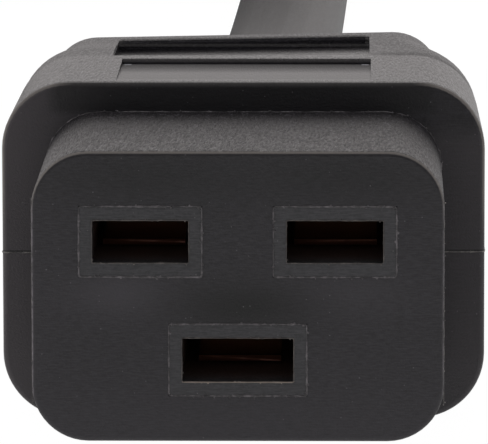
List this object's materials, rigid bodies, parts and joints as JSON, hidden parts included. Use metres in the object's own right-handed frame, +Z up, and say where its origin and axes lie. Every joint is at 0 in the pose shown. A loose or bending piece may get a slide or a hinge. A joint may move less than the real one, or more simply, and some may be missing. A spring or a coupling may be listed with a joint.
{
  "type": "appliance power connector with cord",
  "caption": "Black moulded C19 power connector with flush contact towers, finger pockets and a slotted boot, on a round cord tied in a hank that ends in a C20 plug.",
  "frame": {"origin": "centre of the connector's footprint, on the surface it stands on", "axes": "+Y from the mating face towards the cord, +X to the right as seen from the mating side, +Z up"},
  "size_m": [0.0865, 0.445, 0.0337],
  "materials": {
    "moulding": "fine-grained matte",
    "carrier": "satin",
    "contact_metal": "satin",
    "pin_metal": "satin",
    "copper": "satin",
    "line_core": "satin",
    "neutral_core": "satin",
    "earth_core": "satin",
    "jacket": "satin",
    "tie_strap": "matte"
  },
  "bodies": {
    "root": {"overmould_body": "moulding", "contact_carrier": "carrier", "carrier_cap": "carrier", "line_contact": "contact_metal", "line_conductor": "copper", "line_insulation": "line_core", "plug_line_pin": "pin_metal", "plug_line_conductor": "copper", "plug_line_insulation": "line_core", "neutral_contact": "contact_metal", "neutral_conductor": "copper", "neutral_insulation": "neutral_core", "plug_neutral_pin": "pin_metal", "plug_neutral_conductor": "copper", "plug_neutral_insulation": "neutral_core", "earth_contact": "contact_metal", "earth_conductor": "copper", "earth_insulation": "earth_core", "plug_earth_pin": "pin_metal", "plug_earth_conductor": "copper", "plug_earth_insulation": "earth_core", "cord_lead": "jacket", "cord_hank": "jacket", "cord_tail": "jacket", "hank_tie_right": "tie_strap", "hank_tie_left": "tie_strap", "plug_body": "moulding", "plug_pin_insert": "carrier"}
  },
  "joints": []
}
